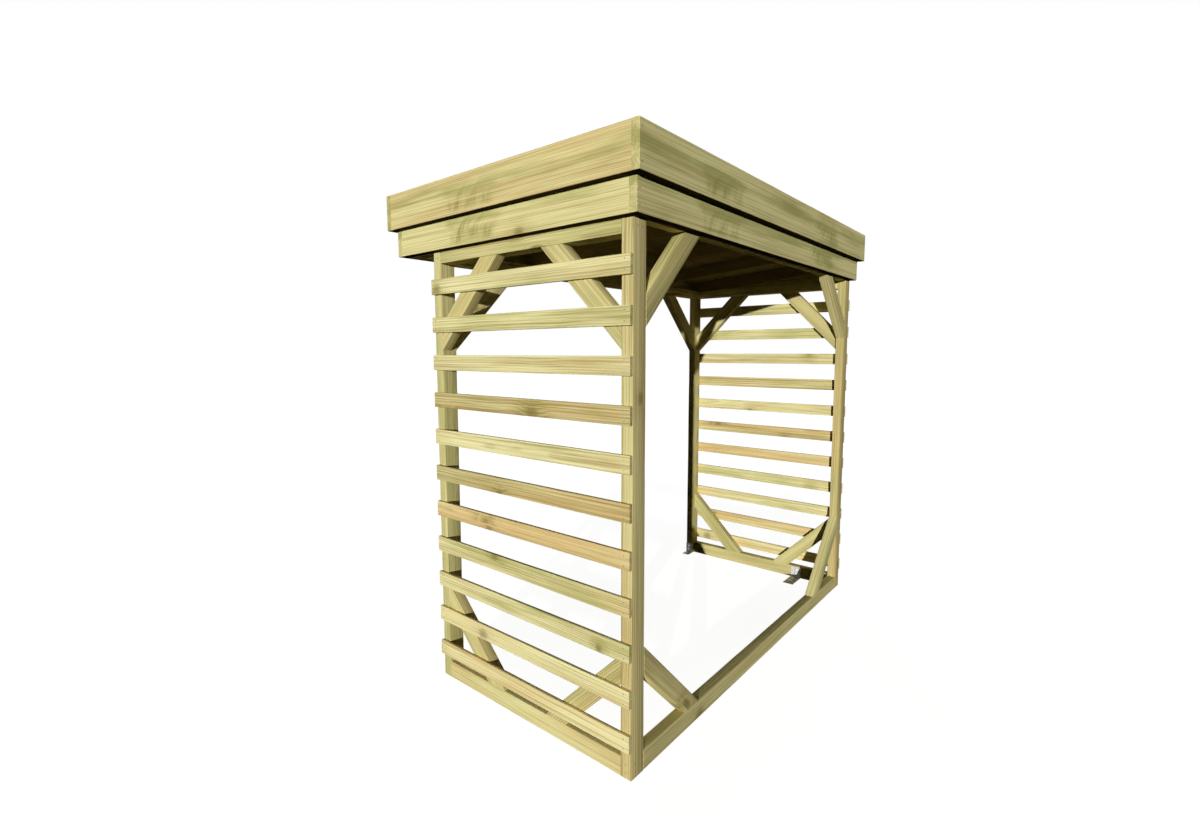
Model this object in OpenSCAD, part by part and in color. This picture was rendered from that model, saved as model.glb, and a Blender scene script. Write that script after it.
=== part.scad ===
// Open timber log store: two slatted end frames, an open back, an open
// loading front and a flat-topped roof box with stepped fascia boards.
// Millimetres, +Z up, +Y towards the loading front, ground at z = 0.

/* [Frame] */
// Length of the frame over its posts, along X
frame_w = 2085; // [1500:1:3000]
// Depth of the frame over its posts, along Y
frame_d = 1013; // [900:1:1400]
// Height of the posts
post_h = 1800; // [1500:1:2200]
// Wide side of the framing timber
timber_w = 70; // [60:1:95]
// Narrow side of the framing timber
timber_t = 45; // [35:1:60]

/* [Braces] */
// Width of a corner brace
brace_w = 72; // [45:1:95]
// Long leg of the braces in the end frames and the front
brace_leg = 350; // [250:1:420]
// Long leg of the top braces at the back
back_top_leg = 326; // [250:1:420]
// Long leg of the foot braces at the back
back_foot_leg = 365; // [250:1:420]

/* [Slats] */
// Slats on each end
slat_count = 11; // [6:1:14]
// Height of a slat
slat_h = 62; // [40:1:80]
// Thickness of a slat
slat_t = 14; // [10:1:22]
// Post top down to the top slat
slat_top_gap = 107; // [60:1:160]
// Ground up to the lowest slat
slat_foot_gap = 99; // [80:1:160]

/* [Fascia] */
// Thickness of the fascia boards
fascia_t = 30; // [20:1:40]
// Height of the fascia boards
fascia_h = 145; // [130:1:200]
// Rise of the lower fascia above the post tops
fascia_lift = 4; // [2:1:12]
// Step from the lower fascia up to the upper one
fascia_step = 108; // [95:1:130]
// Overhang of the lower fascia past the end posts
end_overhang = 23; // [18:1:28]
// Overhang of the lower fascia past the front posts
front_overhang = 220; // [120:1:320]

/* [Roof] */
// Joists under the deck
joist_count = 5; // [3:1:8]
// Depth of a joist
joist_h = 60; // [55:1:70]
// Thickness of the roof deck
deck_t = 12; // [9:1:15]
// Thickness of the roof covering
cover_t = 3; // [2:1:5]
// Drip gap between the deck and the front fascia
drip_gap = 15; // [5:1:40]

/* [Ground anchors] */
// Thickness of the anchor plates
anchor_t = 3; // [2:0.5:5]
// Bend radius on the outside of an anchor
anchor_bend = 7; // [6:0.5:10]
// Diameter of the ground bolt holes
anchor_hole_d = 11; // [8:0.5:14]
// Ground bolt holes in from the outer faces of the end posts
anchor_hole_in = 97; // [90:1:105]
// Width of a back anchor
back_anchor_w = 60; // [45:1:80]
// Ground leg of a back anchor
back_anchor_leg = 125; // [115:1:160]
// Upright leg of a back anchor
back_anchor_up = 66; // [50:1:70]
// Back anchors in from the back of the frame
back_anchor_y = 242; // [120:1:400]
// Pitch of the two ground holes of a back anchor
back_anchor_pitch = 44; // [30:1:50]
// Width of a front anchor
front_anchor_w = 44; // [35:1:45]
// Ground leg of a front anchor
front_anchor_leg = 52; // [48:1:70]
// Upright leg of a front anchor
front_anchor_up = 66; // [50:1:70]

/* [Hidden] */
// Colours of the treated timber, deck, covering and galvanised steel
post_colour = "#c3b67c";
rail_colour = "#c9bd80";
brace_colour = "#bdb178";
slat_colour = "#d3c283";
fascia_colour = "#d8c988";
joist_colour = "#b5a670";
deck_colour = "#a8946a";
cover_colour = "#3a3c3b";
steel_colour = "#b9bcbd";

$fn = 48;

// Vertical or level cut across a brace that stands at 45 degrees
brace_cut = brace_w * sqrt(2);
// Underside of the level top rails
top_rail_z = post_h - timber_t;
// Distance from one slat to the next
slat_pitch = (post_h - slat_top_gap - slat_foot_gap - slat_h) / (slat_count - 1);

// Lower fascia: inner faces at each end, at the back and at the front
lower_z = post_h + fascia_lift;
upper_z = lower_z + fascia_step;
fascia_in = fascia_t - end_overhang;
front_in_y = frame_d + front_overhang - fascia_t;
roof_w = frame_w - 2 * fascia_in;

// Joists fall to the front between two seats: the back beam and the front rail
back_seat_z = post_h + timber_w;
front_seat_y = frame_d - timber_w;
roof_fall = (back_seat_z - post_h) / (front_seat_y - timber_t);
joist_pitch = (roof_w - timber_t) / (joist_count - 1);
deck_front_y = front_in_y - drip_gap;

// The origin is at the middle of the whole outline, on the ground
back_reach = -2 * fascia_t;
front_reach = frame_d + front_overhang + fascia_t;
centre_y = (back_reach + front_reach) / 2;

// Puts a piece drawn from the back left corner of the frame about the origin
module place() {
  translate([-frame_w / 2, -centre_y, 0]) children();
}

// The left or right end: the right end mirrors the left one
module at_end(right) {
  if (right) translate([frame_w, 0, 0]) mirror([1, 0, 0]) children();
  else children();
}

// The back or front edge of the frame: the front mirrors the back
module at_edge(front) {
  if (front) translate([0, frame_d, 0]) mirror([0, 1, 0]) children();
  else children();
}

// Upright post, its wide side along X
module post(right, front) {
  color(post_colour) place() at_end(right) at_edge(front)
    cube([timber_w, timber_t, post_h]);
}

// Bottom rail on edge between the two posts of an end frame
module end_bottom_rail(right) {
  color(rail_colour) place() at_end(right) translate([0, timber_t, 0])
    cube([timber_t, frame_d - 2 * timber_t, timber_w]);
}

// Bottom rail on edge between the back posts
module back_rail() {
  color(rail_colour) place() translate([timber_w, 0, 0])
    cube([frame_w - 2 * timber_w, timber_t, timber_w]);
}

// Top rail laid flat between the two posts of an end frame
module end_top_rail(right) {
  color(rail_colour) place() at_end(right) translate([0, timber_t, top_rail_z])
    cube([timber_w, frame_d - 2 * timber_t, timber_t]);
}

// Top rail laid flat between the front posts, which carries the joists
module front_rail() {
  color(rail_colour) place() translate([timber_w, front_seat_y, top_rail_z])
    cube([frame_w - 2 * timber_w, timber_w, timber_t]);
}

// Beam on edge over the back posts, which lifts the back of the roof
module back_beam() {
  color(rail_colour) place() translate([fascia_in, 0, post_h])
    cube([roof_w, timber_t, timber_w]);
}

// Side of a brace in the corner of two members: one end cut plumb on the
// post at u = 0, the other cut level on the rail at v = 0
module brace_side(leg) {
  polygon([[0, leg], [0, leg - brace_cut], [leg - brace_cut, 0], [leg, 0]]);
}

// Brace in an end frame: u runs along Y from the post, v along Z from the rail
module end_brace(right, front, top) {
  color(brace_colour) place() at_end(right) at_edge(front)
    translate([0, timber_t, top ? top_rail_z : timber_w])
      rotate([90, 0, 90]) linear_extrude(height = timber_t)
        mirror([0, top ? 1 : 0, 0]) brace_side(brace_leg);
}

// Brace in a long side: u runs along X from the post, v along Z from the rail
module side_brace(right, front, top, leg, z) {
  color(brace_colour) place() at_end(right) at_edge(front)
    translate([timber_w, timber_t, z])
      rotate([90, 0, 0]) linear_extrude(height = timber_t)
        mirror([0, top ? 1 : 0, 0]) brace_side(leg);
}

// Ladder of level slats on the outside of an end frame
module slats(right) {
  color(slat_colour) place() at_end(right)
    for (i = [0 : slat_count - 1])
      translate([-slat_t, 0, slat_foot_gap + i * slat_pitch])
        cube([slat_t, frame_d, slat_h]);
}

// Height of the joists' sloping underside at a distance y from the back
function joist_under(y) = back_seat_z - roof_fall * (y - timber_t);

// Side of a joist: a level seat on the back beam, a slope down to the front
// rail, and a tail cut level out to the front fascia
module joist_side() {
  polygon([
    [0, back_seat_z], [timber_t, back_seat_z],
    [front_seat_y, post_h], [front_in_y, post_h],
    [front_in_y, joist_under(front_in_y) + joist_h], [0, joist_under(0) + joist_h]
  ]);
}

// Side of a sheet that lies on the joists, from rise up to rise + thickness
module sheet_side(rise, thickness) {
  back_z = joist_under(0) + joist_h + rise;
  front_z = joist_under(deck_front_y) + joist_h + rise;
  polygon([
    [0, back_z], [deck_front_y, front_z],
    [deck_front_y, front_z + thickness], [0, back_z + thickness]
  ]);
}

// Joists across the roof, the outer two against the end fascia boards
module roof_joists() {
  color(joist_colour) place()
    for (i = [0 : joist_count - 1])
      translate([fascia_in + i * joist_pitch, 0, 0])
        rotate([90, 0, 90]) linear_extrude(height = timber_t) joist_side();
}

// Boarded deck on the joists
module roof_deck() {
  color(deck_colour) place() translate([fascia_in, 0, 0])
    rotate([90, 0, 90]) linear_extrude(height = roof_w) sheet_side(0, deck_t);
}

// Waterproof sheet on the deck
module roof_covering() {
  color(cover_colour) place() translate([fascia_in, 0, 0])
    rotate([90, 0, 90]) linear_extrude(height = roof_w) sheet_side(deck_t, cover_t);
}

// Fascia board across an end, butted between the long boards; each ring of
// boards stands one board thickness further out than the one below
module end_fascia(right, ring) {
  out = ring * fascia_t;
  color(fascia_colour) place() at_end(right)
    translate([-end_overhang - out, -out, ring ? upper_z : lower_z])
      cube([fascia_t, front_in_y + 2 * out, fascia_h]);
}

// Fascia board along the back or front, its ends showing on the end faces
module long_fascia(front, ring) {
  out = ring * fascia_t;
  color(fascia_colour) place()
    translate([-end_overhang - out, front ? front_in_y + out : -fascia_t - out, ring ? upper_z : lower_z])
      cube([frame_w + 2 * (end_overhang + out), fascia_t, fascia_h]);
}

// Side of a bent anchor plate: ground leg along u, upright leg along v
module anchor_side(leg, up) {
  inner = anchor_bend - anchor_t;
  difference() {
    union() {
      square([leg, anchor_t]);
      square([anchor_t, up]);
      square(anchor_bend);
    }
    difference() {
      square(anchor_bend);
      translate([anchor_bend, anchor_bend]) circle(anchor_bend);
    }
    translate([anchor_bend, anchor_bend]) circle(inner);
  }
}

// Anchor plate on a face that stands in from the end, with ground bolt holes
module anchor(right, face_x, mid_y, width, leg, up, holes) {
  color(steel_colour) place() at_end(right) difference() {
    translate([face_x, mid_y + width / 2, 0])
      rotate([90, 0, 0]) linear_extrude(height = width) anchor_side(leg, up);
    for (x = holes)
      translate([x, mid_y, -1]) cylinder(d = anchor_hole_d, h = anchor_t + 2);
  }
}

// Anchor on the inside of an end's bottom rail, near the back
module back_anchor(right) {
  anchor(right, timber_t, back_anchor_y, back_anchor_w, back_anchor_leg, back_anchor_up,
         [anchor_hole_in, anchor_hole_in + back_anchor_pitch]);
}

// Anchor on the inside of a front post
module front_anchor(right) {
  anchor(right, timber_w, frame_d - timber_t / 2, front_anchor_w, front_anchor_leg, front_anchor_up,
         [anchor_hole_in]);
}

post(false, false);  // back_left_post
post(true, false);  // back_right_post
post(false, true);  // front_left_post
post(true, true);  // front_right_post
end_bottom_rail(false);  // left_bottom_rail
end_bottom_rail(true);  // right_bottom_rail
back_rail();  // back_bottom_rail
end_top_rail(false);  // left_top_rail
end_top_rail(true);  // right_top_rail
front_rail();  // front_top_rail
back_beam();  // back_top_beam
end_brace(false, false, true);  // left_back_top_brace
end_brace(false, true, true);  // left_front_top_brace
end_brace(false, false, false);  // left_back_foot_brace
end_brace(false, true, false);  // left_front_foot_brace
end_brace(true, false, true);  // right_back_top_brace
end_brace(true, true, true);  // right_front_top_brace
end_brace(true, false, false);  // right_back_foot_brace
end_brace(true, true, false);  // right_front_foot_brace
side_brace(false, false, true, back_top_leg, post_h);  // back_left_top_brace
side_brace(true, false, true, back_top_leg, post_h);  // back_right_top_brace
side_brace(false, false, false, back_foot_leg, timber_w);  // back_left_foot_brace
side_brace(true, false, false, back_foot_leg, timber_w);  // back_right_foot_brace
side_brace(false, true, true, brace_leg, top_rail_z);  // front_left_top_brace
side_brace(true, true, true, brace_leg, top_rail_z);  // front_right_top_brace
slats(false);  // left_slats
slats(true);  // right_slats
roof_joists();
roof_deck();
roof_covering();
end_fascia(false, 0);  // left_lower_fascia
end_fascia(true, 0);  // right_lower_fascia
long_fascia(false, 0);  // back_lower_fascia
long_fascia(true, 0);  // front_lower_fascia
end_fascia(false, 1);  // left_upper_fascia
end_fascia(true, 1);  // right_upper_fascia
long_fascia(false, 1);  // back_upper_fascia
long_fascia(true, 1);  // front_upper_fascia
back_anchor(false);  // back_left_anchor
back_anchor(true);  // back_right_anchor
front_anchor(false);  // front_left_anchor
front_anchor(true);  // front_right_anchor
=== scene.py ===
import bpy
import numpy as np
from mathutils import Euler, Matrix, Vector


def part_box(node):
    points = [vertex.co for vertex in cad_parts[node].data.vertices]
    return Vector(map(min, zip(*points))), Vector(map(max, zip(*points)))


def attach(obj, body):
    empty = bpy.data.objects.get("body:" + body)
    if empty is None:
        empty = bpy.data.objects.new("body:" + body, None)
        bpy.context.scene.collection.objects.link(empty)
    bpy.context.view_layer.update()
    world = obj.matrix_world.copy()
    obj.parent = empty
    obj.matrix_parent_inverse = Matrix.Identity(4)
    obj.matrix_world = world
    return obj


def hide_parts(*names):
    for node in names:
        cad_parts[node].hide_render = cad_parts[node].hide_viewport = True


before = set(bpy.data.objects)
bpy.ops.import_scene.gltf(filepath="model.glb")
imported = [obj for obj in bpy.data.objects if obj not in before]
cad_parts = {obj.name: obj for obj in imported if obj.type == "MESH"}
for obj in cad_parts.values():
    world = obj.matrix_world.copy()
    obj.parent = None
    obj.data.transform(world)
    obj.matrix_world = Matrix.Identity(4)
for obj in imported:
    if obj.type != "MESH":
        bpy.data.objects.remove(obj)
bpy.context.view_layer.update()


# Posts
# Four uprights of pressure-treated softwood, planed with eased arrises and cut square. They stand
# on the ground, and every rail, brace and slat is fixed to them.
post_ease = 0.0035
post_nodes = ["back_left_post", "back_right_post", "front_left_post", "front_right_post"]
timber_skin = 0.0002
station_gap = 0.08
corner_points = 4
wear_low, wear_high = 0.7, 1.2
end_ease_share = 0.3
tree_run = 60.0
heart_low, heart_high = -0.9, 1.9
heart_near, heart_far = 0.015, 0.06
sharp_turn = np.radians(35)
lots = np.random.default_rng(26)
X_AXIS, Y_AXIS, Z_AXIS = np.eye(3)


def eased_section(width, thick, ease):
    """Points round a rectangle whose corners are quarter circles.

    Each corner's centre lies one ease in from both sides, and its points are the centre plus
    ease * (cos, sin) of corner_points angles over a quarter turn. One ring for each value of ease.
    """
    ease = np.reshape(ease, (-1, 1, 1))
    corner = np.arange(4)[:, None]
    angle = corner * np.pi / 2 + np.linspace(0, np.pi / 2, corner_points)
    middle_a = np.where((corner == 0) | (corner == 3), width - ease, ease)
    middle_b = np.where(corner < 2, thick - ease, ease)
    rings = np.stack([middle_a + ease * np.cos(angle), middle_b + ease * np.sin(angle)], axis=-1)
    return rings.reshape(len(ease), -1, 2)


def sawn_timber(origin, along, across, size, ease, mitre=(0.0, 0.0), kinks=(), bend=None, cut=None,
                tint=None):
    """One timber: an eased section carried along a straight line, with its own grain.

    A section point (a, b) at a station lies at origin + s * along + a * across + b * through. s runs
    from mitre[0] * a to length + mitre[1] * a, so a mitre of 1 cuts that end at 45 degrees. kinks adds
    stations, and bend changes (s, a, b) before they are placed. Grain coordinates are (s, a, b), moved
    so that the heart of the tree runs along a = b = 0, most often outside the timber. cut gives the
    place of the timber along the tree and of the heart across it, and tint its warmth, stain and shade;
    they are drawn by lot without them.
    """
    length, width, thick = np.asarray(size) - 2 * timber_skin
    end_ease = end_ease_share * ease
    count = max(3, int(length / station_gap))
    stations = np.union1d(np.linspace(end_ease, length - end_ease, count), kinks)
    wear = ease * lots.uniform(wear_low, wear_high, len(stations))
    section = eased_section(width, thick, np.concatenate([wear[:1], wear, wear[-1:]]))
    half = np.array([width, thick]) / 2
    section[[0, -1]] = half + (section[[0, -1]] - half) * (1 - end_ease / half)
    share = np.concatenate([[0.0], stations, [length]])[:, None] / length
    first = mitre[0] * section[..., 0]
    last = length + mitre[1] * section[..., 0]
    local = np.stack([first + share * (last - first), section[..., 0], section[..., 1]], axis=-1)
    rings, sides, _ = local.shape
    index = np.arange(rings * sides).reshape(rings, sides)
    following = np.roll(index, -1, axis=1)
    quads = np.stack([index[:-1], following[:-1], following[1:], index[1:]], axis=-1).reshape(-1, 4)
    caps = np.stack([index[0, ::-1], index[-1]])
    local = local.reshape(-1, 3)
    start = lots.uniform(0, tree_run)
    heart_a = width * lots.uniform(heart_low, heart_high)
    heart_b = lots.uniform(heart_near, heart_far)
    turned = lots.uniform() < 0.5
    if cut is not None:
        start, heart_a = cut
    depth = thick - local[:, 2] if turned else local[:, 2]
    grain = np.stack([local[:, 0] + start, local[:, 1] - heart_a, depth + heart_b], axis=-1)
    if bend:
        local = bend(local)
    axes = np.stack([along, across, np.cross(along, across)])
    points = np.asarray(origin) + (local + timber_skin) @ axes
    drawn = lots.uniform(0, 1, 3)
    lot = np.tile(drawn if tint is None else tint, (len(points), 1))
    return {"points": points, "quads": quads, "caps": caps, "grain": grain, "lot": lot}


def timber_piece(name, timbers, material, node):
    """Joins timbers into one mesh in a node's place, with attributes for grain, lot and sawn ends."""
    starts = np.cumsum([0] + [len(timber["points"]) for timber in timbers])
    faces = []
    ends = []
    for timber, start in zip(timbers, starts):
        faces += (timber["quads"] + start).tolist() + (timber["caps"] + start).tolist()
        ends += [0.0] * len(timber["quads"]) + [1.0] * len(timber["caps"])
    mesh = bpy.data.meshes.new(name)
    mesh.from_pydata(np.concatenate([timber["points"] for timber in timbers]).tolist(), [], faces)
    for key in ("grain", "lot"):
        values = np.concatenate([timber[key] for timber in timbers]).astype(np.float32)
        mesh.attributes.new(key, "FLOAT_VECTOR", "POINT").data.foreach_set("vector", values.ravel())
    mesh.attributes.new("end", "FLOAT", "FACE").data.foreach_set("value", ends)
    mesh.shade_smooth()
    mesh.set_sharp_from_angle(angle=sharp_turn)
    mesh.materials.append(material)
    piece = bpy.data.objects.new(name, mesh)
    bpy.context.collection.objects.link(piece)
    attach(piece, "root")
    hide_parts(node)


class Flow:
    """A value on its way through a material: sums on it add Math nodes, and node() adds any other."""

    def __init__(self, tree, socket=None):
        self.tree = tree
        self.socket = socket

    def node(self, kind, sockets=None, out=0, **settings):
        """Adds a node, sets its settings, feeds its sockets and gives the output that is asked for."""
        made = self.tree.nodes.new(kind)
        for key, value in settings.items():
            setattr(made, key, value)
        for key, value in (sockets or {}).items():
            if isinstance(value, Flow):
                self.tree.links.new(value.socket, made.inputs[key])
            else:
                made.inputs[key].default_value = value
        return Flow(self.tree, made.outputs[out])

    def maths(self, operation, *values):
        return self.node("ShaderNodeMath", dict(enumerate(values)), operation=operation)

    def __add__(self, other):
        return self.maths("ADD", self, other)

    def __radd__(self, other):
        return self.maths("ADD", other, self)

    def __sub__(self, other):
        return self.maths("SUBTRACT", self, other)

    def __rsub__(self, other):
        return self.maths("SUBTRACT", other, self)

    def __mul__(self, other):
        return self.maths("MULTIPLY", self, other)

    def __rmul__(self, other):
        return self.maths("MULTIPLY", other, self)

    def __truediv__(self, other):
        return self.maths("DIVIDE", self, other)

    def __rtruediv__(self, other):
        return self.maths("DIVIDE", other, self)

    def __pow__(self, other):
        return self.maths("POWER", self, other)

    def __rpow__(self, other):
        return self.maths("POWER", other, self)

    def rise(self, low, high):
        """0 below low, 1 above high, and a smooth step between; high may be the lower of the two."""
        return self.node("ShaderNodeMapRange", {"Value": self, "From Min": low, "From Max": high},
                         interpolation_type="SMOOTHSTEP")

    def split(self):
        parts = self.node("ShaderNodeSeparateXYZ", {0: self}).socket.node.outputs
        return [Flow(self.tree, part) for part in parts]

    def join(self, x, y, z):
        return self.node("ShaderNodeCombineXYZ", {0: x, 1: y, 2: z})

    def blend(self, first, second):
        """The colour that lies this share of the way from first to second."""
        return self.node("ShaderNodeMix", {0: self, 6: first, 7: second}, out=2, data_type="RGBA")

    def feed(self, shader, socket):
        self.tree.links.new(self.socket, shader.inputs[socket])


def paint(red, green, blue):
    """An sRGB colour of 0 to 255 a channel, in the linear values that a shader takes."""
    part = np.array([red, green, blue]) / 255
    linear = np.where(part <= 0.04045, part / 12.92, ((part + 0.055) / 1.055) ** 2.4)
    return (*linear.tolist(), 1.0)


def new_material(name):
    material = bpy.data.materials.new(name)
    material.use_nodes = True
    return material, Flow(material.node_tree), material.node_tree.nodes["Principled BSDF"]


drift_rate, drift_apart, lot_apart = 0.6, 40.0, 31.0
heart_sway_a, heart_sway_b = 0.016, 0.010
knot_turn = 0.9
knot_least, knot_more = 0.004, 0.006
knot_stretch, knot_ragged = 0.22, 1.2
ring_sway, knot_push = 1.5, 1.2
late_relief, fibre_relief, line_relief, rim_relief = 0.00016, 0.00022, 0.0001, 0.0002
late_brown, knot_brown, rim_brown = paint(150, 128, 70), paint(124, 108, 56), paint(110, 98, 50)
# The second colour here is painted shade: the near black given to the shadowed underside of the fascia
# boards.
sawn_brown, painted_underside_black = paint(150, 138, 78), paint(58, 49, 26)


def treated_timber(name, pale, tan, olive, ring=0.0065, knot_gap=0.6, marks=None):
    """Pressure-treated softwood, worked out in the grain coordinates of each timber.

    Growth rings are shells round the heart of the tree, which wanders a little along the length, so a
    face turned to the heart shows flames and any other shows straight lines. Knots are rods that run out
    from the heart and push the rings aside. Sapwood is pale, heartwood tan, and the treatment leaves olive
    stains. Lines, streaks and fibres are noise stretched along the grain. Where marks is given, it adds a
    stained band, dark flames and painted shade, a near black along the underside of the board.
    """
    material, start, shader = new_material(name)
    s, a, b = start.node("ShaderNodeAttribute", out="Vector", attribute_name="grain").split()
    tone, green, shade = start.node("ShaderNodeAttribute", out="Vector", attribute_name="lot").split()
    end = start.node("ShaderNodeAttribute", out="Fac", attribute_name="end")

    def noise(along, over, detail, roughness=0.5):
        """Noise stretched along the grain: along and over are its changes per metre each way."""
        place = start.join(s * along + tone * lot_apart, a * over, b * over)
        return start.node("ShaderNodeTexNoise", {"Vector": place, "Scale": 1.0, "Detail": detail,
                                                 "Roughness": roughness}, out="Fac")

    drift = start.node("ShaderNodeTexNoise", {"W": s * drift_rate + tone * drift_apart, "Detail": 1.5},
                       out="Color", noise_dimensions="1D")
    drift_a, drift_b, _ = drift.split()
    a_heart = a + (drift_a - 0.5) * heart_sway_a
    b_heart = b + (drift_b - 0.5) * heart_sway_b
    radius = (a_heart * a_heart + b_heart * b_heart) ** 0.5
    angle = start.maths("ARCTAN2", b_heart, a_heart)

    flow = noise(0.5, 9.0, 2.0)
    fibre = noise(5.0, 430.0, 3.0, 0.6)
    lines = noise(1.3, 165.0, 2.0, 0.6).rise(0.3, 0.7)
    streak = noise(1.6, 52.0, 3.0, 0.6).rise(0.25, 0.75)
    cloud = noise(2.1, 15.0, 3.0, 0.55)
    patch = noise(1.5, 13.0, 3.0, 0.55)
    ragged = noise(60.0, 150.0, 2.0)

    cell = {"Vector": start.join(s / knot_gap, angle / knot_turn, 0.0), "Scale": 1.0}
    spot = start.node("ShaderNodeTexVoronoi", cell, out="Position", voronoi_dimensions="2D")
    chance = start.node("ShaderNodeTexVoronoi", cell, out="Color", voronoi_dimensions="2D")
    spot_s, spot_angle, _ = spot.split()
    luck, girth, _ = chance.split()
    off_s = s - spot_s * knot_gap
    off_turn = (angle - spot_angle * knot_turn) * radius
    knot_size = knot_least + knot_more * girth
    off = (off_s * off_s * knot_stretch + off_turn * off_turn) ** 0.5 / knot_size
    off = off + (ragged - 0.5) * knot_ragged
    here = luck.rise(0.74, 0.76)
    knot = off.rise(1.9, 0.1) * here
    rim = off.rise(2.2, 1.2) * off.rise(0.4, 1.2) * here
    halo = off.rise(6.5, 0.6) * here

    phase = radius / (ring * (0.8 + 0.4 * shade)) + (flow - 0.5) * ring_sway + halo * halo * knot_push
    wave = phase - start.maths("FLOOR", phase)
    late = wave.rise(0.15, 0.8) * wave.rise(1.0, 0.88)

    heart = radius.rise(0.06, 0.025)
    warm = heart * 0.2 + tone * 0.9 + (streak - 0.5) * 0.12 + (patch - 0.5) * 2.2 - 0.15
    stain = (cloud - 0.5) * 2.2 + green * 0.9 + halo * 0.3 + end * 0.12 - 0.25
    dark = late * 0.22 + (lines - 0.5) * 0.46 + (streak - 0.5) * 0.16 + (fibre - 0.5) * 0.35
    dark = dark + (shade - 0.5) * 0.22 + (cloud - 0.5) * 0.3 + halo * 0.16
    if marks:
        band, flame, painted_underside_shade = marks(noise, s, a)
        stain = stain + band + flame * 0.65
        dark = dark + flame * 0.32
    colour = warm.rise(0.05, 0.95).blend(pale, tan)
    colour = (stain.rise(0.12, 0.95) * 0.8).blend(colour, olive)
    colour = dark.rise(-0.3, 0.95).blend(colour, late_brown)
    colour = (knot * 0.62).blend(colour, knot_brown)
    colour = (rim * 0.16).blend(colour, rim_brown)
    colour = (end * 0.18).blend(colour, sawn_brown)
    if marks:
        # Painted shade: the foot of the board is darkened to near black, standing for its underside in
        # shadow.
        colour = painted_underside_shade.blend(colour, painted_underside_black)
    colour.feed(shader, "Base Color")
    (0.78 + 0.16 * fibre - 0.1 * late - 0.12 * knot).feed(shader, "Roughness")
    relief = late * late_relief + fibre * fibre_relief + lines * line_relief - rim * rim_relief
    bump = start.node("ShaderNodeBump", {"Height": relief, "Strength": 0.9, "Distance": 1.0})
    bump.feed(shader, "Normal")
    shader.inputs["Specular IOR Level"].default_value = 0.0
    return material


post_timber = treated_timber("post_timber", paint(226, 217, 154), paint(220, 198, 136),
                             paint(192, 190, 124))
for node in post_nodes:
    low, high = map(np.array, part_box(node))
    post_size = (high - low)[[2, 0, 1]]
    timber_piece(node + "_timber", [sawn_timber(low, Z_AXIS, X_AXIS, post_size, post_ease)],
                 post_timber, node)


# Rails
# Level timbers of the same section between the posts: bottom rails on edge at the ends and the back,
# top rails laid flat at the ends and the front, and a beam on edge over the back posts.
rail_ease = 0.003
rail_timber = treated_timber("rail_timber", paint(230, 222, 157), paint(226, 204, 141),
                             paint(192, 191, 122))
rails_along_x = ["back_bottom_rail", "front_top_rail", "back_top_beam"]
rails_along_y = ["left_bottom_rail", "right_bottom_rail", "left_top_rail", "right_top_rail"]
for node in rails_along_x + rails_along_y:
    low, high = map(np.array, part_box(node))
    if node in rails_along_x:
        timber = sawn_timber(low, X_AXIS, Y_AXIS, (high - low)[[0, 1, 2]], rail_ease)
    else:
        timber = sawn_timber(low, Y_AXIS, Z_AXIS, (high - low)[[1, 2, 0]], rail_ease)
    timber_piece(node + "_timber", [timber], rail_timber, node)


# Frame screws
# Flush screws with olive-brown plating, driven through the posts into the ends of the rails, two to each.
# Their heads are a shallow dish with a rounded rim.
screw_head = [(0.0036, -0.0010), (0.0036, 0.0), (0.0031, 0.00016), (0.0024, 0.00008), (0.0016, -0.0004)]
screw_sides = 12
rail_screws = 0.030
post_screws = 0.024
front_step = post_screws / 3
spangle_rate, smear_rate = 120.0, 38.0


def turned_heads(name, outline, sides, places, outward, material):
    """Copies of one small turned head in a single mesh, all facing the same way.

    The outline gives (radius, height), from the buried edge out. At each of its points a ring of so many
    sides is put at place + radius * (cos t * e1 + sin t * e2) + height * outward, and both ends are capped.
    """
    outward = np.asarray(outward, float)
    first = np.roll(np.abs(outward), 1)
    second = np.cross(outward, first)
    radius, height = np.transpose(outline)
    turn = np.arange(sides) * 2 * np.pi / sides
    ring = np.cos(turn)[:, None] * first + np.sin(turn)[:, None] * second
    head = radius[:, None, None] * ring + height[:, None, None] * outward
    points = np.asarray(places)[:, None, None, :] + head
    index = np.arange(points.size // 3).reshape(points.shape[:3])
    following = np.roll(index, -1, axis=2)
    quads = np.stack([index[:, :-1], following[:, :-1], following[:, 1:], index[:, 1:]], axis=-1)
    faces = quads.reshape(-1, 4).tolist() + index[:, 0, ::-1].tolist() + index[:, -1].tolist()
    mesh = bpy.data.meshes.new(name)
    mesh.from_pydata(points.reshape(-1, 3).tolist(), [], faces)
    mesh.materials.append(material)
    piece = bpy.data.objects.new(name, mesh)
    bpy.context.collection.objects.link(piece)
    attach(piece, "root")


def plated_steel(name, dark, bright, metal, gloss):
    """Plated steel: two tones in small spangles with dull smears, which also change the gloss."""
    material, start, shader = new_material(name)
    place = start.node("ShaderNodeTexCoord", out="Object")
    spangle = start.node("ShaderNodeTexVoronoi", {"Vector": place, "Scale": spangle_rate}, out="Color")
    tone, gleam, _ = spangle.split()
    smear = start.node("ShaderNodeTexNoise", {"Vector": place, "Scale": smear_rate, "Detail": 4.0},
                       out="Fac")
    (tone * smear.rise(0.7, 0.35)).blend(dark, bright).feed(shader, "Base Color")
    (gloss + 0.14 * gleam + 0.18 * smear.rise(0.45, 0.8)).feed(shader, "Roughness")
    bump = start.node("ShaderNodeBump", {"Height": smear * 0.0003, "Strength": 0.5, "Distance": 1.0})
    bump.feed(shader, "Normal")
    shader.inputs["Metallic"].default_value = metal
    shader.inputs["Specular IOR Level"].default_value = 0.2
    return material


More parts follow.
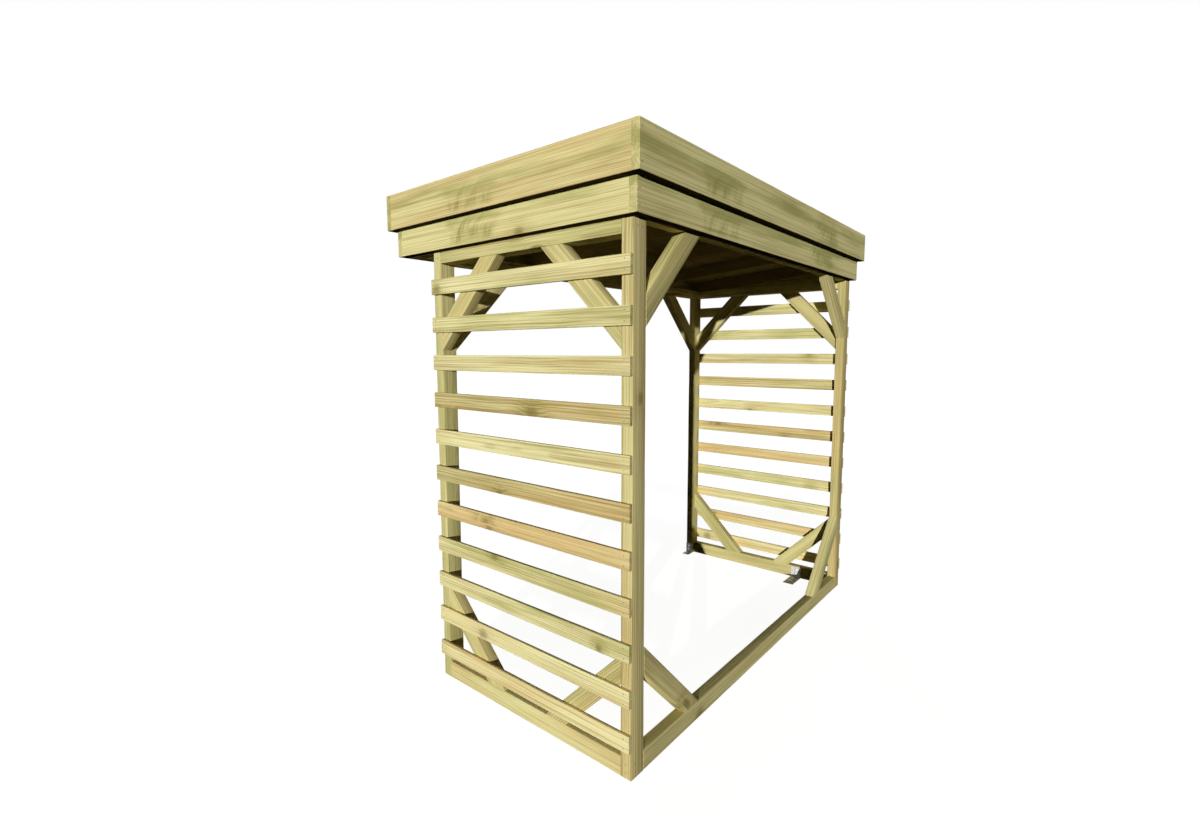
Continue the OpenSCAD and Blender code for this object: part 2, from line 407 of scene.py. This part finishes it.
screw_steel = plated_steel("screw_steel", paint(120, 106, 64), paint(168, 152, 98), 0.7, 0.42)
left_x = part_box("back_left_post")[0][0]
right_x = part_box("back_right_post")[1][0]
back_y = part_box("back_left_post")[0][1]
front_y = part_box("front_left_post")[1][1]
rail_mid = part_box("left_bottom_rail")[1][2] / 2
post_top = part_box("left_top_rail")[1][2]
top_mid = (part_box("left_top_rail")[0][2] + post_top) / 2
foot_pair = [rail_mid - rail_screws / 2, rail_mid + rail_screws / 2]
end_rail_in = (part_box("left_bottom_rail")[1][0] - left_x) / 2
top_rail_in = (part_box("left_top_rail")[1][0] - left_x) / 2
top_pair = [top_rail_in - post_screws / 2, top_rail_in + post_screws / 2]
for side, y, out in (("back", back_y, -1), ("front", front_y, 1)):
    face_y = y - out * timber_skin
    places = [(x, face_y, z) for x in (left_x + end_rail_in, right_x - end_rail_in) for z in foot_pair]
    places += [(x, face_y, top_mid) for inset in top_pair for x in (left_x + inset, right_x - inset)]
    turned_heads(side + "_post_screws", screw_head, screw_sides, places, out * Y_AXIS, screw_steel)
back_rail_y = (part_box("back_bottom_rail")[0][1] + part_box("back_bottom_rail")[1][1]) / 2
front_rail_y = (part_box("front_left_post")[0][1] + front_y) / 2
for side, x, out in (("left", left_x, -1), ("right", right_x, 1)):
    face_x = x - out * timber_skin
    places = [(face_x, back_rail_y, z) for z in foot_pair]
    places += [(face_x, front_rail_y + step, top_mid) for step in (-front_step, front_step)]
    turned_heads(side + "_post_screws", screw_head, screw_sides, places, out * X_AXIS, screw_steel)


# Braces
# Short timbers at 45 degrees across the corners of the frames, one end cut plumb against the post and
# the other cut level against the rail. They lie flush with the outer faces and are screwed through.
brace_w = 0.072
brace_ease = 0.003
brace_timber = treated_timber("brace_timber", paint(226, 217, 154), paint(221, 206, 142),
                              paint(192, 190, 122))


def corner_brace(node, post_side, rail_side, u_axis):
    """A brace in a corner, from the box of its node.

    u leads away from the post and v away from the rail. The timber runs along (u - v) / sqrt(2) from the
    post to the rail, its width along (u + v) / sqrt(2), and both ends are mitred at 45 degrees.
    """
    low, high = map(np.array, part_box(node))
    u = u_axis if post_side == "low" else -u_axis
    v = Z_AXIS if rail_side == "low" else -Z_AXIS
    along = (u - v) / np.sqrt(2)
    across = (u + v) / np.sqrt(2)
    through = np.cross(along, across)
    leg = (high - low) @ np.abs(u_axis)
    short_leg = leg - brace_w * np.sqrt(2)
    corner = np.where(u + v + through > 0, low, high)
    thick = (high - low) @ np.abs(through)
    return sawn_timber(corner + v * short_leg, along, across, (short_leg * np.sqrt(2), brace_w, thick),
                       brace_ease, mitre=(-1.0, 1.0))


for node in [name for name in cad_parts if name.endswith("_brace")]:
    side, corner, level, _ = node.split("_")
    u_axis = Y_AXIS if side in ("left", "right") else X_AXIS
    post_side = "low" if corner in ("back", "left") else "high"
    rail_side = "low" if level == "foot" else "high"
    timber_piece(node + "_timber", [corner_brace(node, post_side, rail_side, u_axis)],
                 brace_timber, node)


# Slats
# Eleven thin planed boards across the outside of each end, spaced for air to pass through the logs. Their
# kinds of wood are listed from the foot up, the same at both ends. Each is fixed to both posts with two
# zinc-plated nails, whose low domed heads are driven home.
slat_h = 0.062
slat_ease = 0.0022
slat_tints = {"pale": (0.42, 0.35, 0.75), "tan": (0.68, 0.05, 0.3), "warm": (1.1, 0.0, 0.4),
              "stained": (0.27, 0.72, 0.7), "brown": (0.68, 0.56, 1.5)}
slat_kinds = ["tan", "tan", "stained", "stained", "warm", "brown", "pale", "brown", "pale", "stained",
              "stained"]
nail_head = [(0.0024, -0.0008), (0.0024, 0.0001), (0.0018, 0.0004), (0.0008, 0.00055)]
nail_sides = 10
nail_spread = 0.034
slat_timber = treated_timber("slat_timber", paint(246, 238, 177), paint(230, 200, 138),
                             paint(190, 194, 118), knot_gap=0.42)
nail_steel = plated_steel("nail_steel", paint(128, 126, 112), paint(176, 174, 158), 0.6, 0.4)
for node, out in (("left_slats", -1), ("right_slats", 1)):
    low, high = map(np.array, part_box(node))
    slat_levels = np.linspace(low[2], high[2] - slat_h, len(slat_kinds))
    slat_size = (high[1] - low[1], slat_h, high[0] - low[0])
    slats = [sawn_timber((low[0], low[1], level), Y_AXIS, Z_AXIS, slat_size, slat_ease,
                         tint=slat_tints[kind])
             for level, kind in zip(slat_levels, slat_kinds)]
    timber_piece(node + "_boards", slats, slat_timber, node)
    face_x = (low[0] if out < 0 else high[0]) - out * timber_skin
    places = [(face_x, y, level + slat_h / 2 + step) for level in slat_levels
              for y in (back_rail_y, front_rail_y) for step in (-nail_spread / 2, nail_spread / 2)]
    turned_heads(node + "_nails", nail_head, nail_sides, places, out * X_AXIS, nail_steel)


# Roof joists
# Five rafters on edge from the back beam to the front rail. They are notched level over both, fall to the
# front, and run out to the front fascia with a level tail.
joist_count = 5
joist_thick = 0.045
joist_ease = 0.0025
# Painted shade: the roof's joists and deck get darker colours than the other timbers, so that the underside
# of the roof reads as in shadow.
roof_timber = treated_timber("roof_timber", paint(164, 148, 100), paint(154, 128, 84),
                             paint(136, 126, 78))
low, high = map(np.array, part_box("roof_joists"))
beam_low, beam_high = map(np.array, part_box("back_top_beam"))
rail_low, rail_high = map(np.array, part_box("front_top_rail"))
seat_back = beam_high[1] - low[1]
seat_front = rail_low[1] - low[1]
roof_fall = (beam_high[2] - rail_high[2]) / (seat_front - seat_back)
joist_run = high[1] - low[1]
joist_h = high[2] - beam_high[2] - roof_fall * seat_back


def notched(local):
    """Bends a straight joist: its foot follows the two level seats, and its top the fall of the roof."""
    run = local[:, 0]
    foot = np.interp(run, [seat_back, seat_front], [beam_high[2], rail_high[2]])
    top = high[2] - roof_fall * run
    share = local[:, 1] / (joist_h - 2 * timber_skin)
    return np.stack([run, foot + share * (top - foot) - low[2], local[:, 2]], axis=-1)


joists = [sawn_timber((x, low[1], low[2]), Y_AXIS, Z_AXIS, (joist_run, joist_h, joist_thick), joist_ease,
                      kinks=(seat_back, seat_front), bend=notched)
          for x in np.linspace(low[0], high[0] - joist_thick, joist_count)]
timber_piece("roof_joist_timbers", joists, roof_timber, "roof_joists")


# Roof deck
# Matched boards laid along the store on the joists, with a small vee between neighbours that shows
# from below. The front board stops short of the fascia, which leaves a gap for water to drip through.
deck_boards = 10
deck_t = 0.012
deck_vee = 0.0028
low, high = map(np.array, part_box("roof_deck"))
slope = np.array([0.0, 1.0, -roof_fall]) / np.hypot(1.0, roof_fall)
board_w = (high[1] - low[1]) * np.hypot(1.0, roof_fall) / deck_boards
deck_back = np.array([low[0], low[1], high[2] - deck_t])
board_size = (high[0] - low[0], board_w, deck_t)
boards = [sawn_timber(deck_back + slope * i * board_w, X_AXIS, slope, board_size, deck_vee)
          for i in range(deck_boards)]
timber_piece("roof_deck_boards", boards, roof_timber, "roof_deck")


# Fascia
# Two rings of wide boards that box in the roof. The long boards run past the ends of the short ones, which
# are butted between them and screwed, and the upper ring stands one board further out than the lower ring.
fascia_ease = 0.003
fascia_h = 0.145
heart_below = 0.11
band_at = heart_below + 0.62 * fascia_h
curl_at = heart_below + 0.42 * fascia_h
curl_first, curl_gap, curl_pitch = 0.519, 1.04, 0.040
curl_end, curl_off = 3.5, 5.0
end_curl_in = 0.731
band_edge, band_core, band_sway = 0.036, 0.004, 0.05
group_edge, group_core, curl_sway = 0.19, 0.09, 0.05
curl_lean, curl_hook, hook_below, curl_climb = 0.25, 14.0, 0.01, 7.0
# How far the painted shade reaches up from the foot of a fascia board, and where it is at its darkest.
underside_shade_edge, underside_shade_core = 0.0016, 0.0003
corner_screws = np.array([0.024, 0.0725, 0.121])


def curl_marks(noise, s, a):
    """Marks along a board: an olive band over its middle, curled flames that hang from it, painted shade
    under it.

    The flames are the high parts of noise that changes quickly along s and slowly up the board. They hook
    forward into the band, are kept to a group at every curl_gap, and come and go. The painted shade lies
    on the foot of the board, where its underside is in shadow. Gives the band, the flames and the shade,
    about 0 to 1.
    """
    bend = noise(0.9, 7.0, 1.0) - 0.5
    jitter = noise(8.0, 9.0, 1.0) - 0.5
    worn = noise(10.0, 16.0, 2.0).rise(0.28, 0.68)
    streaks = noise(0.7, 60.0, 2.0).rise(0.25, 0.75)
    over = a - band_at - bend * band_sway
    band = ((over * over) ** 0.5).rise(band_edge, band_core) * (0.3 + 0.5 * streaks)
    turns = (s - curl_first) / curl_gap + 0.5
    near = (turns - s.maths("FLOOR", turns) - 0.5) * curl_gap
    under = a - curl_at
    hook = s.maths("MAXIMUM", under + hook_below, 0.0)
    lean = (s - under * curl_lean - hook * hook * curl_hook + jitter * curl_sway) / curl_pitch
    place = s.join(lean, under * curl_climb, 0.0)
    flame = s.node("ShaderNodeTexNoise", {"Vector": place, "Scale": 1.0, "Detail": 2.0}, out="Fac")
    flame = flame.rise(0.42, 0.66)
    group = ((near * near) ** 0.5 + jitter * curl_sway).rise(group_edge, group_core)
    group = group * s.rise(curl_end + 1.0, curl_end)
    height = under.rise(0.05, 0.015) * under.rise(-0.06, -0.025)
    patch = group * under.rise(0.062, 0.02) * under.rise(-0.075, -0.04)
    flames = flame * group * height * (0.35 + 0.65 * worn) * (0.7 + 0.3 * streaks)
    # Painted shade: near black within a couple of millimetres of the board's foot, standing for the shadow
    # on its underside.
    painted_underside_shade = (a - heart_below).rise(underside_shade_edge, underside_shade_core)
    return band + patch * 0.4, flames, painted_underside_shade


fascia_timber = treated_timber("fascia_timber", paint(236, 227, 162), paint(230, 208, 146),
                               paint(176, 176, 106), knot_gap=0.9, marks=curl_marks)
for ring in ("lower", "upper"):
    for side, out in (("left", -X_AXIS), ("right", X_AXIS), ("back", -Y_AXIS), ("front", Y_AXIS)):
        node = f"{side}_{ring}_fascia"
        low, high = map(np.array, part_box(node))
        outer = np.where(out > 0, high, low)
        end_start = curl_first + end_curl_in - (high[1] - low[1])
        start_off = lots.uniform(curl_off, tree_run)
        start = {"left": end_start, "back": 0.0}.get(side, start_off)
        if side in ("left", "right"):
            board = sawn_timber((high[0], high[1], low[2]), -Y_AXIS, Z_AXIS, (high - low)[[1, 2, 0]],
                                fascia_ease, cut=(start, -heart_below))
        else:
            board = sawn_timber((low[0], high[1], low[2]), X_AXIS, Z_AXIS, (high - low)[[0, 2, 1]],
                                fascia_ease, cut=(start, -heart_below))
            half_t = (high[1] - low[1]) / 2
            places = [(x, outer[1] - out[1] * timber_skin, low[2] + z)
                      for x in (low[0] + half_t, high[0] - half_t) for z in corner_screws]
            turned_heads(node + "_screws", screw_head, screw_sides, places, out, screw_steel)
        timber_piece(node + "_board", [board], fascia_timber, node)


# Roof covering
# Two courses of bitumen felt with a mineral face. The back course laps over the front one and is nailed
# there, and the felt is dressed over the ledge of the lower boards and down behind the front one to drip.
felt_t = 0.0022
felt_back, felt_front = 0.42, 0.60
felt_lap = 0.0024
felt_cant = 0.024
felt_drip = 0.013
lap_run = 0.06
ripple_h, ripple_sink = 0.0008, 0.0006
lip_turn, lip_out = 0.002, 0.004
felt_trim, felt_step, lap_step, ledge_gap = 0.001, 0.0002, 0.0003, 0.0004
felt_columns, felt_rows = 150, 80
clout_in = 0.02
clout_head = [(0.0050, -0.0006), (0.0050, 0.0007), (0.0041, 0.0011), (0.0014, 0.0012)]
clout_sides = 12
clout_gap = 0.075
low, high = map(np.array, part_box("roof_covering"))
board_low, board_high = map(np.array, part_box("left_lower_fascia"))
ledge_w = board_high[0] - board_low[0]
ledge_z = board_high[2] + felt_t + ledge_gap
felt_half = (high[0] - low[0]) / 2
felt_reach = high[1] - low[1]
turn_up = np.array([felt_cant, 0.009, 0.0035, 0.003, 0.0])
turn_lift = [0, 0.08, 0.3, 0.92, 1]


def felt_sheet(x, run):
    """The felt's upper face: x across the store from its middle, run from the back of the deck.

    Its height is the fall of the roof plus a step where the back course laps over the front one and a slow
    ripple. At the ends and the back a lift from 0 to 1 takes it from there to the ledge, and past the
    deck's front edge it drops over the edge.
    """
    lift_x = np.interp(np.abs(x), felt_half - turn_up, turn_lift)
    lift_y = np.interp(run, [0.0, felt_cant], [1, 0])
    lift = np.maximum(lift_x, lift_y)
    lap = felt_lap * np.interp(run, [felt_back, felt_back + lap_run], [0, 1]) * (run < felt_front)
    ripple = ripple_h * np.sin(9.0 * x + 3.0 * run) * np.sin(7.0 * run + 1.0) - ripple_sink
    flat = high[2] - roof_fall * np.minimum(run, felt_reach) + (lap + ripple) * (run < felt_reach)
    over = np.clip((run - felt_reach) / lip_turn, 0, None)
    drop = np.minimum(over ** 2 * lip_turn, felt_drip)
    place_y = low[1] + np.minimum(run, felt_reach + lip_out)
    return np.stack([(low[0] + high[0]) / 2 + x, place_y, flat + lift * (ledge_z - flat) - drop], axis=-1)


def grid_faces(rows, columns):
    """Quads of a grid, row by row, each turned so that it faces up when rows run along +Y."""
    index = np.arange(rows * columns).reshape(rows, columns)
    corners = [index[:-1, :-1], index[:-1, 1:], index[1:, 1:], index[1:, :-1]]
    return np.stack(corners, axis=-1).reshape(-1, 4)


def roofing_felt():
    """Black mineral felt: fine granules, a dusting of pale ones, and slow changes of tone."""
    material, start, shader = new_material("roofing_felt")
    place = start.node("ShaderNodeTexCoord", out="Object")
    grit = start.node("ShaderNodeTexVoronoi", {"Vector": place, "Scale": 620.0}, out="Color")
    grit_size = start.node("ShaderNodeTexVoronoi", {"Vector": place, "Scale": 620.0}, out="Distance")
    grain, sparkle, _ = grit.split()
    cloud = start.node("ShaderNodeTexNoise", {"Vector": place, "Scale": 5.0, "Detail": 5.0}, out="Fac")
    colour = grain.blend(paint(38, 41, 40), paint(74, 79, 75))
    colour = sparkle.rise(0.86, 0.94).blend(colour, paint(128, 132, 124))
    colour = (cloud.rise(0.42, 0.75) * 0.6).blend(colour, paint(58, 60, 54))
    colour.feed(shader, "Base Color")
    (0.86 + 0.12 * cloud).feed(shader, "Roughness")
    bump = start.node("ShaderNodeBump", {"Height": grit_size * 0.0006 + cloud * 0.0006, "Strength": 0.8,
                                         "Distance": 1.0})
    bump.feed(shader, "Normal")
    shader.inputs["Specular IOR Level"].default_value = 0.1
    return material


bend_x = felt_half - np.union1d(turn_up, [0.006, 0.016])[::-1]
side_x = np.concatenate([bend_x, [felt_half + ledge_w - felt_trim]])
felt_x = np.union1d(np.linspace(-bend_x[0], bend_x[0], felt_columns), np.concatenate([-side_x, side_x]))
lap_rows = felt_front + np.array([-lap_step, lap_step])
edge_rows = np.concatenate([[felt_trim - ledge_w, -0.008, 0.0, 0.008, 0.016, felt_cant], lap_rows])
drip_rows = felt_reach + np.array([-felt_step, 0.001, 0.002, 0.003, 0.004, 0.006])
plain_rows = np.linspace(felt_cant, felt_reach - felt_step, felt_rows)
felt_run = np.union1d(plain_rows, np.concatenate([edge_rows, drip_rows]))
sheet = felt_sheet(*np.meshgrid(felt_x, felt_run))
mesh = bpy.data.meshes.new("roof_felt")
mesh.from_pydata(sheet.reshape(-1, 3).tolist(), [], grid_faces(len(felt_run), len(felt_x)).tolist())
mesh.materials.append(roofing_felt())
felt = bpy.data.objects.new("roof_felt", mesh)
bpy.context.collection.objects.link(felt)
thickness = felt.modifiers.new("thickness", "SOLIDIFY")
thickness.thickness = felt_t
thickness.offset = -1.0
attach(felt, "root")
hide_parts("roof_covering")
clout_x = np.arange(-felt_half + clout_gap, felt_half - clout_gap / 2, clout_gap)
clouts = felt_sheet(clout_x, np.full(len(clout_x), felt_front - clout_in))
turned_heads("roof_felt_nails", clout_head, clout_sides, clouts, Z_AXIS, nail_steel)


# Ground anchors
# Four plates of galvanised steel, bent to an angle: one leg is screwed to the inside of a rail or post with
# two hexagon screws, the other lies on the ground and takes bolts with washers.
anchor_t = 0.003
hole_in = 0.097
hole_pitch = 0.044
screw_levels = np.array([0.024, 0.048])
washer_sides, hex_sides = 24, 6
bolt_head = [(0.0098, 0.0), (0.0098, 0.0056), (0.0088, 0.0066), (0.0020, 0.0067)]
bolt_washer = [(0.0105, 0.0), (0.0105, 0.0014), (0.0098, 0.0020), (0.0020, 0.0020)]
hex_screw = [(0.0075, 0.0), (0.0075, 0.0046), (0.0066, 0.0054), (0.0015, 0.0055)]
hex_washer = [(0.0090, 0.0), (0.0090, 0.0010), (0.0084, 0.0015), (0.0015, 0.0015)]
anchor_steel = plated_steel("galvanised_steel", paint(204, 203, 200), paint(236, 234, 229), 0.08, 0.45)
bolt_steel = plated_steel("bolt_steel", paint(214, 213, 210), paint(240, 239, 235), 0.4, 0.3)
for node in [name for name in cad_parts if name.endswith("_anchor")]:
    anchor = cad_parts[node]
    anchor.data.materials.clear()
    anchor.data.materials.append(anchor_steel)
    low, high = map(np.array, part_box(node))
    inward = 1 if "left" in node else -1
    end_x = left_x if inward > 0 else right_x
    mid_y = (low[1] + high[1]) / 2
    plate_x = (low[0] if inward > 0 else high[0]) + inward * anchor_t
    holes = [hole_in, hole_in + hole_pitch] if "back" in node else [hole_in]
    bolts = np.array([(end_x + inward * hole, mid_y, anchor_t) for hole in holes])
    screws = np.array([(plate_x, mid_y, level) for level in screw_levels])
    turned_heads(node + "_washers", bolt_washer, washer_sides, bolts, Z_AXIS, bolt_steel)
    turned_heads(node + "_bolts", bolt_head, hex_sides, bolts + Z_AXIS * bolt_washer[-1][1], Z_AXIS,
                 bolt_steel)
    turned_heads(node + "_screw_washers", hex_washer, washer_sides, screws, inward * X_AXIS, bolt_steel)
    turned_heads(node + "_screws", hex_screw, hex_sides, screws + inward * X_AXIS * hex_washer[-1][1],
                 inward * X_AXIS, bolt_steel)


# Floor, light and camera
# A plain white floor and background, one low lamp from the back left, weaker ones from the front right and
# from above, and a camera that stands off the back left corner at head height.
floor_half, floor_drop = 40.0, 0.0008
floor_glow, floor_dull, floor_dim = 0.94, 0.3, 0.02
fade_from, fade_to = 2.2, 4.5
sky_level = 0.008


def background_rays(start):
    """1 for rays that show the background: from the camera, off metal or through glass. Else 0."""
    rays = start.node("ShaderNodeLightPath").socket.node.outputs
    kinds = ("Is Camera Ray", "Is Glossy Ray", "Is Transmission Ray")
    seen, mirrored, through = [Flow(start.tree, rays[kind]) for kind in kinds]
    return start.maths("MAXIMUM", start.maths("MAXIMUM", seen, mirrored), through)


def grey(level):
    """A grey of this linear level, 1 being white."""
    return (level, level, level, 1.0)


def white_floor():
    """White to the camera apart from the store's faint shadow, and a dull grey to all other light."""
    material, start, shader = new_material("white_floor")
    tree = material.node_tree
    place = start.node("ShaderNodeTexCoord", out="Object")
    far = start.node("ShaderNodeVectorMath", {0: place}, out="Value", operation="LENGTH")
    shown = background_rays(start)
    light = far.rise(fade_from, fade_to).blend(grey(floor_glow), grey(1.0))
    glow = start.node("ShaderNodeEmission", {"Color": light})
    dull = start.node("ShaderNodeBsdfDiffuse", {"Color": grey(floor_dull)})
    white = start.node("ShaderNodeAddShader", {0: glow, 1: dull})
    dim = start.node("ShaderNodeBsdfDiffuse", {"Color": grey(floor_dim)})
    mixed = start.node("ShaderNodeMixShader", {0: shown, 1: dim, 2: white})
    tree.nodes.remove(shader)
    tree.links.new(mixed.socket, tree.nodes["Material Output"].inputs["Surface"])
    return material


mesh = bpy.data.meshes.new("floor")
mesh.from_pydata([(-floor_half, -floor_half, 0), (floor_half, -floor_half, 0), (floor_half, floor_half, 0),
                  (-floor_half, floor_half, 0)], [], [(0, 1, 2, 3)])
mesh.materials.append(white_floor())
floor = bpy.data.objects.new("floor", mesh)
floor.location.z = -floor_drop
bpy.context.collection.objects.link(floor)

world = bpy.data.worlds.new("studio")
world.use_nodes = True
bpy.context.scene.world = world
sky = Flow(world.node_tree)
shown = background_rays(sky)
soft = sky.node("ShaderNodeBackground", {"Color": (1.0, 0.99, 0.97, 1), "Strength": sky_level})
white = sky.node("ShaderNodeBackground", {"Color": grey(1.0), "Strength": 1.0})
backdrop = sky.node("ShaderNodeMixShader", {0: shown, 1: soft, 2: white})
sky.tree.links.new(backdrop.socket, sky.tree.nodes["World Output"].inputs["Surface"])


def soft_sun(name, direction, level, spread):
    """A distant lamp that lights a matt white face turned to it at this level, 1 being white."""
    lamp = bpy.data.lights.new(name, "SUN")
    lamp.energy = level * np.pi
    lamp.angle = spread
    holder = bpy.data.objects.new(name, lamp)
    holder.rotation_euler = Vector(direction).to_track_quat("-Z", "Y").to_euler()
    bpy.context.collection.objects.link(holder)


soft_sun("key", direction=(0.90, 0.4464, -0.11), level=1.1, spread=0.01)
soft_sun("far_fill", direction=(-0.70, -0.64, -0.04), level=0.8, spread=0.25)
soft_sun("top", direction=(0.05, 0.02, -1.0), level=0.05, spread=0.25)

camera_place = (-2.4638, -1.6520, 1.3977)
camera_yaw = 0.8778
camera_pitch = -0.0953
camera_roll = 0.0015
photo_width = 1200
focal_pixels = 578.67
camera = bpy.data.objects.new("camera", bpy.data.cameras.new("camera"))
camera.data.sensor_width = 36.0
camera.data.lens = camera.data.sensor_width * focal_pixels / photo_width
camera.location = camera_place
facing = Euler((np.pi / 2 + camera_pitch, 0.0, -camera_yaw)).to_matrix()
camera.rotation_euler = (facing @ Matrix.Rotation(-camera_roll, 3, "Z")).to_euler()
camera.data.clip_start = 0.05
bpy.context.collection.objects.link(camera)
bpy.context.scene.camera = camera
bpy.context.scene.view_settings.view_transform = "Standard"
